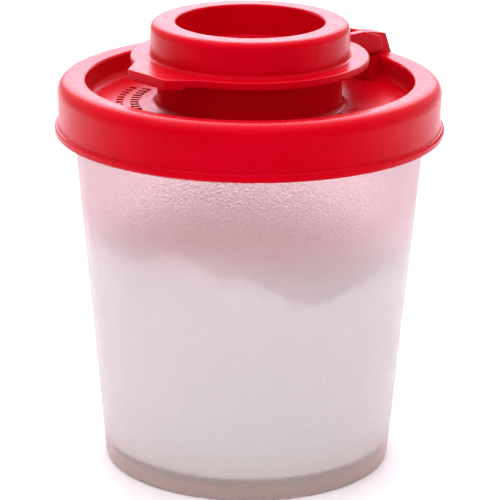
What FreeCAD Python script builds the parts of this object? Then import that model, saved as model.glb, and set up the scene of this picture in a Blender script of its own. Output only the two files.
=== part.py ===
import FreeCAD, Part

import math
import os

# A small shaker jar: a frosted tumbler holding powder, a press-on seal lid with a sifting neck, and a
# flip cap that clips to a post on the lid. Millimetres, +Z up. The origin is the centre of the foot,
# the thumb tab points to -Y and the hinge is at +Y.

# Tumbler
FOOT_R = 19.25
WALL_TAPER = 0.0872
WALL = 1.0
FOOT_RING_H = 1.5
FOOT_RING_W = 1.5
FLOOR_TOP = 2.6
RIM_Z = 51.0
BEAD_R = 24.0
BEAD_LOW, BEAD_HIGH = 49.3, 50.4
BEAD_RAMP = 0.5
CORNER_R = 0.6

# Powder
POWDER_TOP = 31.0
POWDER_GAP = 0.1

# Seal lid
SKIRT_Z = 45.3
LIP_R = 25.75
LIP_H = 0.95
SKIRT_R = 25.3
SKIRT_TOP_R = 25.45
SHOULDER_R = 1.8
WAIST_H = 3.0
SKIRT_INNER_R = 24.1
SEAT_GAP = 0.05
PLUG_GAP = 0.1
CROWN_Z = 52.65
CROWN_IN_Z = 52.35
WELL_WALL_R = 21.6
DECK_Z = 49.0
DECK_T = 1.0
NECK_R = 12.25
NECK_WALL = 1.1
SIFTER_Z = 54.4
SIFTER_T = 1.0
SPOUT_Z = 56.1
SPOUT_IN_R, SPOUT_OUT_R = 11.35, 11.95
HOLE_R = 0.9
HOLE_RINGS = ((0.0, 1), (3.4, 6), (6.8, 12))

# Raised ribs on the deck, in two arcs: middle radius and length of each rib
RIB_ARCS = ((15.2, 1.1), (17.2, 0.9))
RIB_W, RIB_H = 0.35, 0.2
RIB_START, RIB_STEP, RIB_COUNT = 204.0, 4.4, 10

# Hinge
PIVOT_Y, PIVOT_Z = 20.9, 54.05
TRUNNION_R = 0.5
TRUNNION_GAP = 0.06
TRUNNION_LENGTH = 1.0
POST_W = 2.7
POST_FRONT_Y = 19.7
POST_TOP_Z = 55.85
POST_BACK_Y, POST_BACK_Z = 23.7, 55.05
ARM_GAP = 0.14
ARM_W = 1.05
ARM_END_R = 1.1
ARM_EDGE_R = 0.22
ARM_BEND_Y, ARM_KNEE_Y = 16.7, 19.0
ARM_TOP_FRONT_Y, ARM_TOP_BACK_Y, ARM_TOP_Z = 16.3, 18.7, 56.15
BASE_W = 4.9
BASE_FRONT_Y = 19.8
BASE_TOP_Z = 52.55

# Flip cap
FLANGE_R = 15.7
FLANGE_LOW, FLANGE_TOP = 54.53, 55.55
FLANGE_EDGE_R = 0.22
RING_R = 13.15
CAP_TOP = 60.0
CAP_WALL = 0.9
CHANNEL_TOP = 58.95
WELL_R = 9.75
TAB_REACH = 17.75
TAB_TIP_HALF, TAB_ROOT_HALF, TAB_ROOT_Y = 3.8, 6.6, 14.2
TAB_ROOT_FILLET = 1.3
TAB_CORNER_R = 1.2
TAB_LIP, TAB_LIP_LENGTH = 0.35, 1.8

Z = FreeCAD.Vector(0, 0, 1)
CENTRE = FreeCAD.Vector(0, 0, 0)


def cone_r(z):
    """Outer radius of the tumbler's tapered wall."""
    return FOOT_R + WALL_TAPER * z


def inner_r(z):
    """Inner radius of the tumbler's wall."""
    return cone_r(z) - WALL * math.hypot(1.0, WALL_TAPER)


def in_rz(u, v):
    return FreeCAD.Vector(u, 0, v)


def in_yz(u, v):
    return FreeCAD.Vector(0, u, v)


def in_xy(u, v):
    return FreeCAD.Vector(u, v, 0)


def outline(corners, place):
    """A closed face. Each corner is (u, v) or (u, v, radius of its rounding)."""
    spots = [FreeCAD.Vector(c[0], c[1], 0) for c in corners]
    radii = [c[2] if len(c) > 2 else 0.0 for c in corners]
    runs = []
    for i, (spot, radius) in enumerate(zip(spots, radii)):
        if radius == 0.0:
            runs.append((spot, None, spot))
            continue
        back = (spots[i - 1] - spot).normalize()
        ahead = (spots[(i + 1) % len(spots)] - spot).normalize()
        half = back.getAngle(ahead) / 2
        inward = (back + ahead).normalize()
        reach = radius / math.tan(half)
        middle = spot + inward * (radius / math.sin(half) - radius)
        runs.append((spot + back * reach, middle, spot + ahead * reach))
    edges = []
    for i, (start, middle, end) in enumerate(runs):
        if middle is not None:
            edges.append(Part.Arc(*(place(p.x, p.y) for p in (start, middle, end))).toShape())
        following = runs[(i + 1) % len(runs)][0]
        if end.distanceToPoint(following) > 1e-6:
            edges.append(Part.LineSegment(place(end.x, end.y), place(following.x, following.y)).toShape())
    return Part.Face(Part.Wire(edges))


def turned(corners):
    """A solid of revolution about Z from an outline in radius and height."""
    return outline(corners, in_rz).revolve(CENTRE, Z, 360)


def across(corners, start, width):
    """A side outline in Y and Z, drawn out along X."""
    face = outline(corners, in_yz)
    face.translate(FreeCAD.Vector(start, 0, 0))
    return face.extrude(FreeCAD.Vector(width, 0, 0))


def cylinder_x(radius, start, length):
    """A round pin along the hinge axis."""
    base = FreeCAD.Vector(start, PIVOT_Y, PIVOT_Z)
    return Part.makeCylinder(radius, length, base, FreeCAD.Vector(1, 0, 0))


def tumbler():
    """Tapered cup on a foot ring, with a snap bead round its rim."""
    ring_in = FOOT_R - FOOT_RING_W
    return turned([
        (0, FOOT_RING_H),
        (ring_in, FOOT_RING_H, 0.4),
        (ring_in, 0, 0.3),
        (cone_r(0), 0, 0.7),
        (cone_r(BEAD_LOW - BEAD_RAMP), BEAD_LOW - BEAD_RAMP, 0.4),
        (BEAD_R, BEAD_LOW, 0.25),
        (BEAD_R, BEAD_HIGH, 0.35),
        (cone_r(RIM_Z) - 0.05, RIM_Z, 0.3),
        (inner_r(RIM_Z), RIM_Z, 0.35),
        (inner_r(FLOOR_TOP), FLOOR_TOP, CORNER_R),
        (0, FLOOR_TOP),
    ])


def powder_fill():
    """The powder's bulk, filling the tumbler to its mean level."""
    low = FLOOR_TOP + POWDER_GAP
    return turned([
        (0, low),
        (inner_r(low) - POWDER_GAP, low, CORNER_R),
        (inner_r(POWDER_TOP) - POWDER_GAP, POWDER_TOP),
        (0, POWDER_TOP),
    ])


def lid_shell():
    """Skirt, rolled crown, sunken deck, neck, sifter plate and spout ring in one turned wall."""
    roof = RIM_Z + SEAT_GAP
    deck_low = DECK_Z - DECK_T
    neck_in = NECK_R - NECK_WALL
    return turned([
        (0, SIFTER_Z),
        (SPOUT_IN_R, SIFTER_Z, 0.3),
        (SPOUT_IN_R, SPOUT_Z, 0.2),
        (SPOUT_OUT_R, SPOUT_Z, 0.3),
        (NECK_R, DECK_Z, 0.8),
        (WELL_WALL_R, DECK_Z, 1.2),
        (WELL_WALL_R + 0.05, CROWN_IN_Z, 0.4),
        (SKIRT_TOP_R, CROWN_Z, SHOULDER_R),
        (SKIRT_R - 0.05, SKIRT_Z + WAIST_H, 12.0),
        (SKIRT_R, SKIRT_Z + LIP_H + 0.1, 0.2),
        (LIP_R, SKIRT_Z + LIP_H, 0.25),
        (LIP_R, SKIRT_Z, 0.25),
        (SKIRT_INNER_R, SKIRT_Z, 0.3),
        (SKIRT_INNER_R + 0.1, roof, 0.35),
        (inner_r(roof) - PLUG_GAP, roof, 0.3),
        (inner_r(deck_low) - PLUG_GAP, deck_low, 0.4),
        (neck_in, deck_low, 0.4),
        (neck_in - 0.15, SIFTER_Z - SIFTER_T, 0.4),
        (0, SIFTER_Z - SIFTER_T),
    ])


def sifter_holes():
    """Round holes through the sifter plate, in rings about its centre."""
    holes = []
    for ring_r, count in HOLE_RINGS:
        for i in range(count):
            angle = 2 * math.pi * i / count
            x, y = ring_r * math.cos(angle), ring_r * math.sin(angle)
            spot = FreeCAD.Vector(x, y, SIFTER_Z - 2 * SIFTER_T)
            holes.append(Part.makeCylinder(HOLE_R, 3 * SIFTER_T, spot))
    return holes


def deck_ribs():
    """Short raised bars on the deck, for grip while the cap is thumbed open."""
    ribs = []
    for middle_r, length in RIB_ARCS:
        for i in range(RIB_COUNT):
            corner = FreeCAD.Vector(middle_r - length / 2, -RIB_W / 2, DECK_Z - 0.2)
            rib = Part.makeBox(length, RIB_W, RIB_H + 0.2, corner)
            rib.rotate(CENTRE, Z, RIB_START + RIB_STEP * i)
            ribs.append(rib)
    return ribs


def hinge_post():
    """The knuckle with the pivot hole, standing from deck to crown, on a wider base below the arms."""
    foot_z = DECK_Z - 0.1
    back_y = WELL_WALL_R + 0.35
    crown_y = SKIRT_TOP_R - 0.5
    knuckle = across([
        (POST_FRONT_Y - 0.2, foot_z),
        (POST_FRONT_Y, POST_TOP_Z, 0.5),
        (POST_BACK_Y, POST_BACK_Z, 0.3),
        (crown_y, CROWN_Z - 0.7),
        (crown_y, CROWN_Z - 0.8),
        (back_y, CROWN_Z - 0.8),
        (back_y, foot_z),
    ], -POST_W / 2, POST_W)
    base = across([
        (BASE_FRONT_Y, foot_z),
        (BASE_FRONT_Y, BASE_TOP_Z, 0.4),
        (back_y, BASE_TOP_Z),
        (back_y, foot_z),
    ], -BASE_W / 2, BASE_W)
    hole_r = TRUNNION_R + TRUNNION_GAP
    return knuckle.fuse(base).cut(cylinder_x(hole_r, -POST_W, 2 * POST_W))


def seal_lid():
    shell = lid_shell().cut(Part.Compound(sifter_holes()))
    return shell.fuse([hinge_post()] + deck_ribs()).removeSplitter()


def tab_slab(low, height, length):
    """The thumb tab's plan, from its rounded front edge back over length, raised from low."""
    flare = (TAB_ROOT_HALF - TAB_TIP_HALF) / (TAB_REACH - TAB_ROOT_Y)
    back_y = length - TAB_REACH
    back_half = TAB_TIP_HALF + flare * length
    plan = outline([
        (-TAB_TIP_HALF, -TAB_REACH, TAB_CORNER_R),
        (TAB_TIP_HALF, -TAB_REACH, TAB_CORNER_R),
        (back_half, back_y),
        (-back_half, back_y),
    ], in_xy)
    plan.translate(FreeCAD.Vector(0, 0, low))
    return plan.extrude(FreeCAD.Vector(0, 0, height))


def cap_disc():
    """Flange with its thumb tab, as a flat plate with rounded corners and roots."""
    height = FLANGE_TOP - FLANGE_LOW
    disc = Part.makeCylinder(FLANGE_R, height, FreeCAD.Vector(0, 0, FLANGE_LOW))
    tab = tab_slab(FLANGE_LOW, height, TAB_REACH - TAB_ROOT_Y)
    plate = disc.fuse(tab).removeSplitter()
    roots = [e for e in plate.Edges if is_tab_root(e)]
    plate = plate.makeFillet(TAB_ROOT_FILLET, roots)
    rims = [e for e in plate.Edges if e.BoundBox.ZLength < 1e-6]
    return plate.makeFillet(FLANGE_EDGE_R, rims)


def is_tab_root(edge):
    """True for the upright edges where the tab meets the round flange."""
    box = edge.BoundBox
    upright = box.XLength < 1e-6 and box.YLength < 1e-6
    return upright and abs(abs(box.XMin) - TAB_ROOT_HALF) < 0.6 and box.YMin < -TAB_ROOT_Y + 1.0


def tab_lip():
    """The tab's thicker front edge, flush with its sides, where a thumbnail catches it."""
    low = FLANGE_LOW - TAB_LIP
    lip = tab_slab(low, TAB_LIP + FLANGE_EDGE_R, TAB_LIP_LENGTH)
    feet = [e for e in lip.Edges if e.BoundBox.ZMax < low + 1e-6]
    return lip.makeFillet(TAB_LIP / 2, feet)


def cap_ring():
    """Hollow ring over the spout and the closed well inside it."""
    wall_in = RING_R - CAP_WALL
    plug_r = WELL_R + CAP_WALL
    return turned([
        (0, FLANGE_LOW),
        (plug_r, FLANGE_LOW, 0.3),
        (plug_r, CHANNEL_TOP, 0.4),
        (wall_in, CHANNEL_TOP, 0.4),
        (wall_in + 0.05, FLANGE_LOW, 0.2),
        (RING_R + 1.2, FLANGE_LOW),
        (RING_R + 1.2, FLANGE_TOP),
        (RING_R, FLANGE_TOP, 0.3),
        (RING_R - 0.05, CAP_TOP, 1.0),
        (WELL_R + 0.05, CAP_TOP, 0.3),
        (WELL_R, FLANGE_TOP, 0.6),
        (0, FLANGE_TOP),
    ])


def hinge_arm(side):
    """One arm from the flange to the pivot, with its trunnion; side is +1 or -1 along X."""
    inner = POST_W / 2 + ARM_GAP
    start = inner if side > 0 else -inner - ARM_W
    root_y = FLANGE_R - 1.2
    under_z = FLANGE_LOW + 0.05
    end_y = PIVOT_Y + ARM_END_R
    end_low = PIVOT_Z - ARM_END_R
    arm = across([
        (root_y, under_z),
        (ARM_BEND_Y, under_z, 0.7),
        (ARM_KNEE_Y, end_low, 0.8),
        (end_y, end_low, ARM_END_R - 0.02),
        (end_y, PIVOT_Z + ARM_END_R - 0.1, 0.95),
        (ARM_TOP_BACK_Y, ARM_TOP_Z, 0.9),
        (ARM_TOP_FRONT_Y, ARM_TOP_Z, 0.7),
        (root_y + 0.6, FLANGE_TOP - 0.1),
        (root_y, FLANGE_TOP - 0.1),
    ], start, ARM_W)
    outer = side * (inner + ARM_W)
    arm = arm.makeFillet(ARM_EDGE_R, [e for e in arm.Edges if is_arm_rim(e, outer)])
    buried = 0.2
    pin_start = inner - TRUNNION_LENGTH if side > 0 else -inner - buried
    return arm.fuse(cylinder_x(TRUNNION_R, pin_start, TRUNNION_LENGTH + buried))


def is_arm_rim(edge, outer):
    """True for the edges round an arm's outer face, apart from those buried in the flange."""
    box = edge.BoundBox
    return abs(box.XMin - outer) < 1e-6 and abs(box.XMax - outer) < 1e-6 and box.YMax > FLANGE_R + 0.2


def flip_cap():
    """Flange, ring, well, tab and hinge arms in one moulding."""
    channel = Part.makeCylinder(RING_R + 1.0, 4.0, FreeCAD.Vector(0, 0, FLANGE_LOW - 1.0))
    plate = cap_disc().fuse(tab_lip()).cut(channel)
    return plate.fuse([cap_ring(), hinge_arm(1), hinge_arm(-1)]).removeSplitter()


NODES = {
    "tumbler": tumbler,
    "powder_fill": powder_fill,
    "seal_lid": seal_lid,
    "flip_cap": flip_cap,
}

os.makedirs("parts", exist_ok=True)
for node, make in NODES.items():
    shape = make()
    if shape.ShapeType == "Compound" and len(shape.Solids) == 1:
        shape = shape.Solids[0]
    shape.exportStep(f"parts/{node}.step")
    print(node, "valid", shape.isValid(), "solids", len(shape.Solids), "mm3", round(shape.Volume, 1))
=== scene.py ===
import math

import bpy
from mathutils import Matrix, Vector, noise


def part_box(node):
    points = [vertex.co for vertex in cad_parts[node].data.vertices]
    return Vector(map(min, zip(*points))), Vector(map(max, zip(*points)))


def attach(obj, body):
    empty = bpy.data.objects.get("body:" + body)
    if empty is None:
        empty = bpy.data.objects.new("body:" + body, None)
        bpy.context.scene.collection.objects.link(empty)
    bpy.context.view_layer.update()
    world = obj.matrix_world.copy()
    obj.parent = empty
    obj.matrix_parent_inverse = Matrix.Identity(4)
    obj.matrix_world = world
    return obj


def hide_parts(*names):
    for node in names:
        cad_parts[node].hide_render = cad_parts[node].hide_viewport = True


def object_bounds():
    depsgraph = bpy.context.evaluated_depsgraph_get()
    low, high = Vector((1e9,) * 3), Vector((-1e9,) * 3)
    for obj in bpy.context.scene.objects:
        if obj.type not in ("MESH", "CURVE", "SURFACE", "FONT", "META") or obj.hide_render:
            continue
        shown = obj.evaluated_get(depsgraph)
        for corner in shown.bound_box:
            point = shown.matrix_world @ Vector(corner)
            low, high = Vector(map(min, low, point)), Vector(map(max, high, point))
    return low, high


# A small frosted shaker jar of white powder, with a red seal lid and a red flip cap. Metres, in the
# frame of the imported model: +Z up, the thumb tab towards -Y, the hinge towards +Y.

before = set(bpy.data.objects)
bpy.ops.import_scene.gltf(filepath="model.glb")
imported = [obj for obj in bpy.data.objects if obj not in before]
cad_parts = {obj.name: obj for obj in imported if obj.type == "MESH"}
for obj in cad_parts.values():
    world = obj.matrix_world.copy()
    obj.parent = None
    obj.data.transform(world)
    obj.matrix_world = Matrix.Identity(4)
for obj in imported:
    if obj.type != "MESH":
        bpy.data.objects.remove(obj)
cad_low, cad_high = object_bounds()
HEIGHT = cad_high.z - cad_low.z
MM = 0.001

# Camera: where it stands round the object, and how it is framed
CAM_AZIMUTH, CAM_ELEVATION, CAM_ROLL = 48.0, 17.82, 0.5
CAM_DISTANCE = 6.032 * HEIGHT
CAM_AIM_Z = 0.4742 * HEIGHT
CAM_AIM_RIGHT = 0.0038 * HEIGHT
CAM_LENS, CAM_SENSOR = 193.7, 36.0

# Studio: the floor, the surround and two soft lights. A light's level is its radiance, where the surround's
# would be 1 if it were pure white. Its distance and size are in metres.
FLOOR_SIZE = 90 * HEIGHT
FLOOR_TINTS = ((0.3, (0.88, 0.825, 0.85)), (0.7, (0.90, 0.845, 0.87)))
FLOOR_TOOTH = 40 * MM
WORLD_LEVEL = 0.7
LIGHTS = {
    "back_softbox": {
        "azimuth": 228,
        "elevation": 36,
        "distance": 0.9,
        "size": (0.8, 0.95),
        "level": 3.7,
        "colour": (1.0, 0.76, 0.92),
    },
    "top_softbox": {
        "azimuth": 30,
        "elevation": 80,
        "distance": 0.9,
        "size": (1.1, 1.1),
        "level": 2.4,
        "colour": (1.0, 1.0, 1.0),
    },
}

# Red plastic: its tints by cloudiness, the range of its roughness, and the colour of its sheen seen face on
RED_TINTS = ((0.3, (0.49, 0.0002, 0.006)), (0.7, (0.54, 0.0004, 0.009)))
RED_ROUGHNESS = (0.25, 0.3)
RED_SHEEN = (1.0, 0.02, 0.12, 1.0)
RED_IOR = 1.32
RED_CLOUD, RED_SATIN, RED_SKIN, RED_SWELL = 7 * MM, 1.6 * MM, 0.22 * MM, 6 * MM
RED_SKIN_DEPTH, RED_SWELL_DEPTH = 0.008 * MM, 0.05 * MM

# Tumbler: its frosted skin, and its wall's colour by height as a share of the wall's, with painted light:
# a peach glow where the thick base gathers light, and a pink cast of the red lid's light below the lid
WALL_ROUGHNESS = (0.3, 0.36)
WALL_CLEARNESS = 0.75
WALL_IOR = 1.25
WALL_HAZE, WALL_PEBBLE, WALL_PEBBLE_DEPTH = 2 * MM, 0.34 * MM, 0.17 * MM
TINT_SPAN = 51 * MM
WALL_COLOUR_AND_PAINTED_LIGHT = (
    (0.0, (0.88, 0.74, 0.72)),
    (0.03, (1.0, 0.80, 0.74)),
    (0.065, (1.0, 0.94, 0.92)),
    (0.15, (1.0, 0.97, 0.98)),
    (0.58, (1.0, 0.96, 0.97)),
    (0.72, (1.0, 0.80, 0.825)),
    (0.88, (1.0, 0.88, 0.90)),
)

# Powder: its colours, its grain and lumps, the sides that follow the tumbler's wall, and the mesh's steps
POWDER_TINTS = ((0.3, (0.76, 0.75, 0.75)), (0.7, (0.84, 0.83, 0.83)))
POWDER_CLUMP, POWDER_GRAIN, POWDER_LUMP = 3 * MM, 0.25 * MM, 1.6 * MM
POWDER_GRAIN_DEPTH, POWDER_LUMP_DEPTH = 0.05 * MM, 0.25 * MM
WALL_TAPER = 0.0872
POWDER_CORNER_R = 0.6 * MM
POWDER_AROUND, POWDER_TOP_RINGS, POWDER_SIDE_RINGS, POWDER_CORNER_RINGS = 160, 44, 26, 5
EDGE_TRIES = 3
# Its loose top: the level it undulates about, then each heap or hollow as its angle round the jar from +X,
# distance from the axis, height and spread in mm, then each layer of unevenness as its height and width in
# mm and its offset in the noise
POWDER_LEVEL = 30.4 * MM
HEAPS = (
    (-96, 17.0, 1.8, 8.0),
    (-68, 18.0, 3.0, 6.0),
    (-44, 19.0, 1.1, 3.2),
    (-17, 20.0, -3.3, 5.0),
    (60, 18.0, -3.6, 7.0),
    (150, 11.0, 2.4, 9.0),
    (-52, 20.9, -1.8, 1.3),
    (-83, 20.9, -2.0, 1.6),
)
UNEVENNESS = (
    (0.55, 5, (0, 0, 0)),
    (0.34, 2, (7, 3, 0)),
    (0.22, 0.9, (1, 9, 0)),
)


# Materials ------------------------------------------------------------------------------------

def new_material(name):
    """An empty node material with its output, its shader and the piece's own coordinates."""
    mat = bpy.data.materials.new(name)
    mat.use_nodes = True
    tree = mat.node_tree
    tree.nodes.clear()
    out = tree.nodes.new("ShaderNodeOutputMaterial")
    shader = tree.nodes.new("ShaderNodeBsdfPrincipled")
    tree.links.new(shader.outputs["BSDF"], out.inputs["Surface"])
    coords = tree.nodes.new("ShaderNodeTexCoord").outputs["Object"]
    return mat, tree, shader, coords


def noise_of(tree, coords, feature, detail=3.0, rough=0.55):
    """A noise pattern whose blotches are about feature metres across."""
    node = tree.nodes.new("ShaderNodeTexNoise")
    node.inputs["Scale"].default_value = 1.0 / feature
    node.inputs["Detail"].default_value = detail
    node.inputs["Roughness"].default_value = rough
    tree.links.new(coords, node.inputs["Vector"])
    return node.outputs["Fac"]


def ramp_of(tree, value, stops):
    """A colour ramp over value; each stop is (position, colour)."""
    node = tree.nodes.new("ShaderNodeValToRGB")
    for i, (place, colour) in enumerate(stops):
        stop = node.color_ramp.elements[i] if i < 2 else node.color_ramp.elements.new(place)
        stop.position = place
        stop.color = (*colour, 1.0)
    tree.links.new(value, node.inputs["Fac"])
    return node.outputs["Color"]


def between(tree, value, low, high):
    """Value, from 0.3 to 0.7 as noise mostly is, mapped to low to high."""
    node = tree.nodes.new("ShaderNodeMapRange")
    node.inputs["From Min"].default_value = 0.3
    node.inputs["From Max"].default_value = 0.7
    node.inputs["To Min"].default_value = low
    node.inputs["To Max"].default_value = high
    tree.links.new(value, node.inputs["Value"])
    return node.outputs["Result"]


def bump_of(tree, height, depth, under=None):
    """A bump of that depth in metres, on top of another one if given."""
    node = tree.nodes.new("ShaderNodeBump")
    node.inputs["Strength"].default_value = 1.0
    node.inputs["Distance"].default_value = depth
    tree.links.new(height, node.inputs["Height"])
    if under is not None:
        tree.links.new(under, node.inputs["Normal"])
    return node.outputs["Normal"]


def red_plastic():
    """Satin moulded plastic, with a faint cloudiness and a fine moulded skin."""
    mat, tree, shader, coords = new_material("red_moulded_plastic")
    colour = ramp_of(tree, noise_of(tree, coords, RED_CLOUD, 2.0), RED_TINTS)
    tree.links.new(colour, shader.inputs["Base Color"])
    satin = between(tree, noise_of(tree, coords, RED_SATIN, 3.0), *RED_ROUGHNESS)
    tree.links.new(satin, shader.inputs["Roughness"])
    skin = bump_of(tree, noise_of(tree, coords, RED_SKIN, 2.0), RED_SKIN_DEPTH)
    swell = bump_of(tree, noise_of(tree, coords, RED_SWELL, 1.0), RED_SWELL_DEPTH, under=skin)
    tree.links.new(swell, shader.inputs["Normal"])
    shader.inputs["IOR"].default_value = RED_IOR
    shader.inputs["Specular Tint"].default_value = RED_SHEEN
    return mat


def frosted_plastic():
    """Clear polypropylene with a pebbled, frosted skin that blurs what is behind it, its colour by height
    holding painted light.
    """
    mat, tree, shader, coords = new_material("frosted_clear_plastic")
    parts = tree.nodes.new("ShaderNodeSeparateXYZ")
    tree.links.new(coords, parts.inputs["Vector"])
    level = tree.nodes.new("ShaderNodeMapRange")
    level.inputs["From Max"].default_value = TINT_SPAN
    tree.links.new(parts.outputs["Z"], level.inputs["Value"])
    # Base colour by height: the wall's own near-white, with a painted peach glow in the base and a painted
    # pink cast of the lid's red light below the lid
    wall_colour_and_painted_light = ramp_of(tree, level.outputs["Result"], WALL_COLOUR_AND_PAINTED_LIGHT)
    tree.links.new(wall_colour_and_painted_light, shader.inputs["Base Color"])
    haze = between(tree, noise_of(tree, coords, WALL_HAZE, 2.0), *WALL_ROUGHNESS)
    tree.links.new(haze, shader.inputs["Roughness"])
    pebble = bump_of(tree, noise_of(tree, coords, WALL_PEBBLE, 2.0, 0.45), WALL_PEBBLE_DEPTH)
    tree.links.new(pebble, shader.inputs["Normal"])
    shader.inputs["Transmission Weight"].default_value = WALL_CLEARNESS
    shader.inputs["IOR"].default_value = WALL_IOR
    return mat


def white_powder():
    """Dry white powder: matt, with a fine grain and faint clumps."""
    mat, tree, shader, coords = new_material("white_powder")
    colour = ramp_of(tree, noise_of(tree, coords, POWDER_CLUMP, 4.0, 0.6), POWDER_TINTS)
    tree.links.new(colour, shader.inputs["Base Color"])
    grain = bump_of(tree, noise_of(tree, coords, POWDER_GRAIN, 2.0), POWDER_GRAIN_DEPTH)
    lumps = bump_of(tree, noise_of(tree, coords, POWDER_LUMP, 3.0), POWDER_LUMP_DEPTH, under=grain)
    tree.links.new(lumps, shader.inputs["Normal"])
    shader.inputs["Roughness"].default_value = 0.95
    shader.inputs["Specular IOR Level"].default_value = 0.2
    return mat


def pale_floor():
    """A white studio sheet with a barely visible tooth."""
    mat, tree, shader, coords = new_material("pale_floor")
    colour = ramp_of(tree, noise_of(tree, coords, FLOOR_TOOTH, 2.0), FLOOR_TINTS)
    tree.links.new(colour, shader.inputs["Base Color"])
    shader.inputs["Roughness"].default_value = 0.9
    shader.inputs["Specular IOR Level"].default_value = 0.1
    return mat


def dress(obj, mat):
    """Puts one material on the whole of an object."""
    obj.data.materials.clear()
    obj.data.materials.append(mat)


# Powder ---------------------------------------------------------------------------------------

def powder_z(x, y):
    """Height of the powder's loose top at a place across the jar."""
    z = POWDER_LEVEL
    for angle, far, rise, spread in HEAPS:
        dx = x - far * MM * math.cos(math.radians(angle))
        dy = y - far * MM * math.sin(math.radians(angle))
        z += rise * MM * math.exp(-(dx * dx + dy * dy) / (2 * (spread * MM) ** 2))
    place = Vector((x, y, 0.0))
    for rise, width, offset in UNEVENNESS:
        z += rise * MM * noise.noise(place / (width * MM) + Vector(offset))
    return z


def powder_heap():
    """The powder as it settled: a loose, uneven top over sides that follow the tumbler's wall."""
    low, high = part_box("powder_fill")

    def wall_r(z):
        return high.x + WALL_TAPER * (z - high.z)

    corner_z = low.z + POWDER_CORNER_R
    corner_in = wall_r(corner_z) - POWDER_CORNER_R
    columns = []
    for i in range(POWDER_AROUND):
        angle = 2 * math.pi * i / POWDER_AROUND
        c, s = math.cos(angle), math.sin(angle)
        edge_r = high.x
        for _ in range(EDGE_TRIES):
            edge_z = powder_z(edge_r * c, edge_r * s)
            edge_r = wall_r(edge_z)
        column = []
        for k in range(1, POWDER_TOP_RINGS + 1):
            r = edge_r * k / POWDER_TOP_RINGS
            column.append((r * c, r * s, powder_z(r * c, r * s)))
        for k in range(1, POWDER_SIDE_RINGS + 1):
            z = edge_z + (corner_z - edge_z) * k / POWDER_SIDE_RINGS
            column.append((wall_r(z) * c, wall_r(z) * s, z))
        for k in range(1, POWDER_CORNER_RINGS + 1):
            turn = 0.5 * math.pi * k / POWDER_CORNER_RINGS
            r = corner_in + POWDER_CORNER_R * math.cos(turn)
            column.append((r * c, r * s, corner_z - POWDER_CORNER_R * math.sin(turn)))
        columns.append(column)

    rings = len(columns[0])
    verts = [(0, 0, powder_z(0, 0))] + [p for column in columns for p in column] + [(0, 0, low.z)]
    faces = []
    for i in range(POWDER_AROUND):
        here = 1 + i * rings
        there = 1 + (i + 1) % POWDER_AROUND * rings
        faces.append((0, here, there))
        for k in range(rings - 1):
            faces.append((here + k, here + k + 1, there + k + 1, there + k))
        faces.append((here + rings - 1, len(verts) - 1, there + rings - 1))
    mesh = bpy.data.meshes.new("powder_heap")
    mesh.from_pydata(verts, [], faces)
    mesh.polygons.foreach_set("use_smooth", [True] * len(mesh.polygons))
    mesh.update()
    heap = bpy.data.objects.new("powder_heap", mesh)
    bpy.context.scene.collection.objects.link(heap)
    return heap


# Studio ---------------------------------------------------------------------------------------

def direction(azimuth, elevation):
    """From the object's axis towards a place round it; azimuth 0 is -Y and 90 is +X."""
    a, e = math.radians(azimuth), math.radians(elevation)
    return Vector((math.sin(a) * math.cos(e), -math.cos(a) * math.cos(e), math.sin(e)))


def add_camera():
    """The camera, aimed at a point near the object's middle and rolled about its line of sight."""
    back = direction(CAM_AZIMUTH, CAM_ELEVATION)
    sideways = direction(CAM_AZIMUTH + 90, 0)
    upright = back.cross(sideways)
    roll = math.radians(CAM_ROLL)
    right = sideways * math.cos(roll) + upright * math.sin(roll)
    up = upright * math.cos(roll) - sideways * math.sin(roll)
    data = bpy.data.cameras.new("camera")
    data.lens = CAM_LENS
    data.sensor_width = CAM_SENSOR
    cam = bpy.data.objects.new("camera", data)
    aim = Vector((0, 0, cad_low.z + CAM_AIM_Z)) + sideways * CAM_AIM_RIGHT
    turn = Matrix((right, up, back)).transposed().to_4x4()
    cam.matrix_world = Matrix.Translation(aim + back * CAM_DISTANCE) @ turn
    bpy.context.scene.collection.objects.link(cam)
    bpy.context.scene.camera = cam


def add_lights():
    """Large soft rectangles aimed at the jar, and an even white surround."""
    aim = Vector((0, 0, HEIGHT / 2))
    for name, spec in LIGHTS.items():
        data = bpy.data.lights.new(name, "AREA")
        data.shape = "RECTANGLE"
        data.size, data.size_y = spec["size"]
        data.energy = math.pi * data.size * data.size_y * spec["level"]
        data.color = spec["colour"]
        lamp = bpy.data.objects.new(name, data)
        towards = direction(spec["azimuth"], spec["elevation"])
        lamp.location = aim + towards * spec["distance"]
        lamp.rotation_euler = towards.to_track_quat("Z", "Y").to_euler()
        lamp.visible_camera = False
        bpy.context.scene.collection.objects.link(lamp)
    world = bpy.data.worlds.new("studio")
    world.use_nodes = True
    world.node_tree.nodes["Background"].inputs["Color"].default_value = (1, 1, 1, 1)
    world.node_tree.nodes["Background"].inputs["Strength"].default_value = WORLD_LEVEL
    bpy.context.scene.world = world
    bpy.context.scene.view_settings.view_transform = "Standard"


def add_floor():
    """A plain sheet at the height of the object's foot."""
    half = FLOOR_SIZE / 2
    mesh = bpy.data.meshes.new("floor")
    corners = [(-half, -half, 0), (half, -half, 0), (half, half, 0), (-half, half, 0)]
    mesh.from_pydata(corners, [], [(0, 1, 2, 3)])
    floor = bpy.data.objects.new("floor", mesh)
    floor.location.z = cad_low.z
    dress(floor, pale_floor())
    bpy.context.scene.collection.objects.link(floor)


# The object -----------------------------------------------------------------------------------

red = red_plastic()
dress(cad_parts["seal_lid"], red)
dress(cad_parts["flip_cap"], red)
dress(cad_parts["tumbler"], frosted_plastic())

heap = powder_heap()
dress(heap, white_powder())
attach(heap, "jar")
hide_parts("powder_fill")

add_camera()
add_lights()
add_floor()
